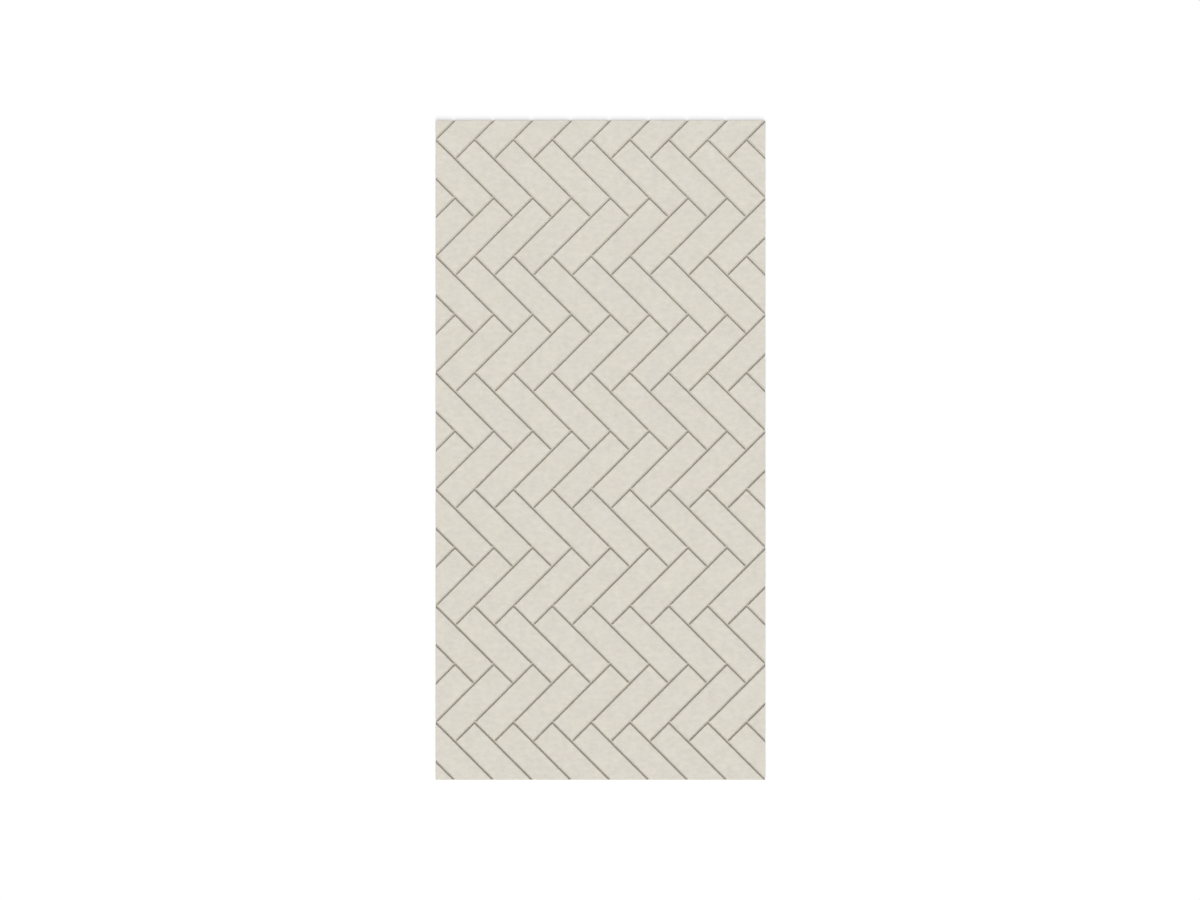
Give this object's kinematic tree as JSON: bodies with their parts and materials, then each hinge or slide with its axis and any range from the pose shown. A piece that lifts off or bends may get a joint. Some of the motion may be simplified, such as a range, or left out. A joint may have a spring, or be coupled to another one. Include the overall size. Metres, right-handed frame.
{
  "type": "acoustic panel",
  "caption": "Flat sheet of pressed felt that deadens sound in a room, with a herringbone of V grooves cut into its face and plain square edges.",
  "frame": {"origin": "middle of the back face, on which the panel lies", "axes": "+X across the panel to its right edge, +Y along the panel to its top edge, +Z out of the grooved face"},
  "size_m": [1.2, 2.4, 0.012],
  "materials": {
    "felt": "matte"
  },
  "bodies": {
    "root": {"felt_panel": "felt"}
  },
  "joints": []
}
